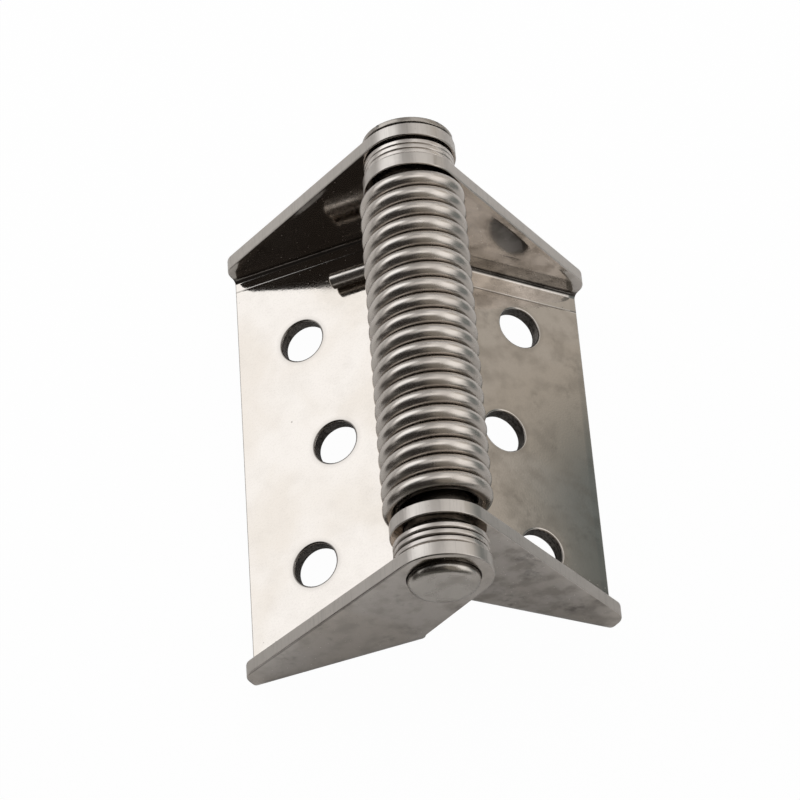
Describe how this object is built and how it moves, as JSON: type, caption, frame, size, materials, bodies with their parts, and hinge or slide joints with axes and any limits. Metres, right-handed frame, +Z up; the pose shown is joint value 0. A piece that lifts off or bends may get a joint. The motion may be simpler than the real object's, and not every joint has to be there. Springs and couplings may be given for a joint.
{
  "type": "spring loaded door hinge",
  "caption": "Spring loaded door hinge: two folded stainless leaves with pointed ears on one headed pin, a torsion spring wound round the pin between them.",
  "frame": {"origin": "on the floor under the middle of the part, which stands like a tent on the outer edges of its two plates", "axes": "+Y along the pin towards its head, +Z up, +X towards the door leaf"},
  "size_m": [0.0758, 0.1036, 0.0549],
  "materials": {
    "leaf_steel": "tumbled and lightly polished stainless sheet",
    "pin_steel": "turned stainless, satin",
    "spring_wire": "bright drawn stainless wire",
    "washer_steel": "stamped stainless, bright"
  },
  "bodies": {
    "frame_leaf": {"frame_leaf": "leaf_steel", "hinge_pin": "pin_steel", "torsion_spring": "spring_wire", "washer_near_1": "washer_steel", "washer_near_2": "washer_steel", "washer_near_3": "washer_steel", "washer_far_1": "washer_steel", "washer_far_2": "washer_steel", "washer_far_3": "washer_steel"},
    "door_leaf": {"door_leaf": "leaf_steel"}
  },
  "joints": [
    {"name": "leaf_swing", "type": "hinge", "parent": "frame_leaf", "child": "door_leaf", "pos_m": [0, 0.00015, 0.04412], "axis": [0, -1, 0], "range_deg": [-8, 145], "stiffness_Nm_per_rad": 1.2, "springref_deg": -4.01, "deforming": ["torsion_spring"]}
  ]
}
